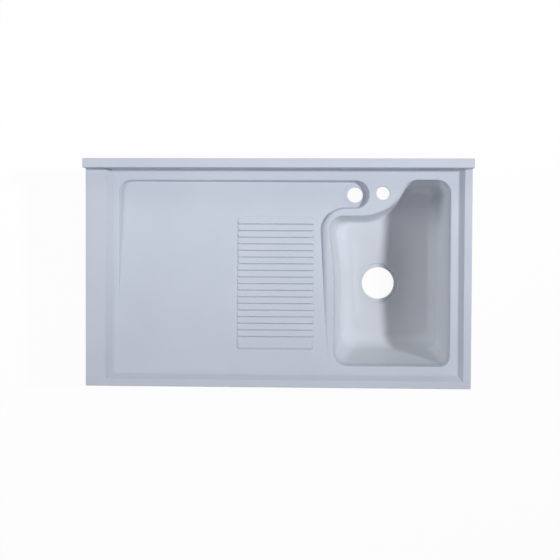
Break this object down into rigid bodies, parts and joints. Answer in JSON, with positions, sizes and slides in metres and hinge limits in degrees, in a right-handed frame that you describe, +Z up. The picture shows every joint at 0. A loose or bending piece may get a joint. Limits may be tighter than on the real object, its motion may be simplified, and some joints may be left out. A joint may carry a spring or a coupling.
{
  "type": "countertop washbasin",
  "caption": "Stone laundry washbasin top: a sunk platform with a ribbed washboard, a curved tap ledge, a deep moulded bowl, raised rims and a splashback.",
  "frame": {"origin": "middle of the rear bottom edge: the wall plane is y = 0 and the plane that rests on the cabinet is z = 0", "axes": "+X to the right along the wall, +Y towards the wall, +Z up; the bowl hangs below z = 0"},
  "size_m": [1, 0.59, 0.269],
  "materials": {
    "stone": "satin gel coat on pale blue-grey white cast stone",
    "stone_raised": "satin gel coat on pale blue-grey white cast stone",
    "stone_bowl": "glossier gel coat on pale blue-grey white cast stone",
    "stone_under": "sawn, unpolished cast stone",
    "steel": "brushed"
  },
  "bodies": {
    "root": {"deck_slab": "stone", "washboard": "stone_raised", "bowl": "stone_bowl", "splashback": "stone_raised", "left_rim": "stone_raised", "right_rim": "stone_raised", "front_rim": "stone_raised", "front_apron": "stone_under", "rear_apron": "stone_under", "left_apron": "stone_under", "right_apron": "stone_under", "batten_left": "stone_under", "batten_middle": "stone_under", "batten_right": "stone_under", "platform_drain_ring": "stone_under", "bowl_drain_ring": "stone_under", "bowl_clips": "steel", "clip_screws": "steel"}
  },
  "joints": []
}
